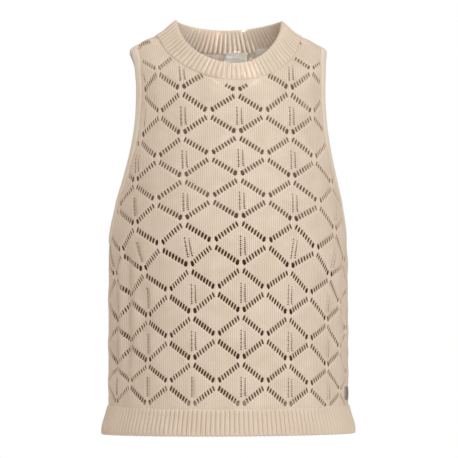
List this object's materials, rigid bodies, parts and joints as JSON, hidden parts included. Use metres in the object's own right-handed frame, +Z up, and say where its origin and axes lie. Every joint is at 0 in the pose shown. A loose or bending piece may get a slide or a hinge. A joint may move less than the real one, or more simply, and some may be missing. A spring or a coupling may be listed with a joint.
{
  "type": "tank top",
  "caption": "Sleeveless open-knit top in a diamond lattice with a ribbed neckband and hem, hollow as worn.",
  "frame": {"origin": "on the neck's axis at the height where the shoulder seams meet the neckband, which is where the garment is held up when worn", "axes": "+Z up along the body, the front faces -Y, +X is the wearer's left"},
  "size_m": [0.3192, 0.233, 0.5186],
  "materials": {
    "knit": "open cotton knit, beige",
    "rib": "ribbed cotton knit, beige",
    "label": "woven, off-white",
    "tag": "satin grey"
  },
  "bodies": {
    "root": {"front": "knit", "back": "knit", "hem_rib_front": "rib", "hem_rib_back": "rib", "neckband": "rib", "armhole_band_left": "rib", "armhole_band_right": "rib", "neck_label": "label", "size_label": "label", "side_tag": "tag"}
  },
  "joints": []
}
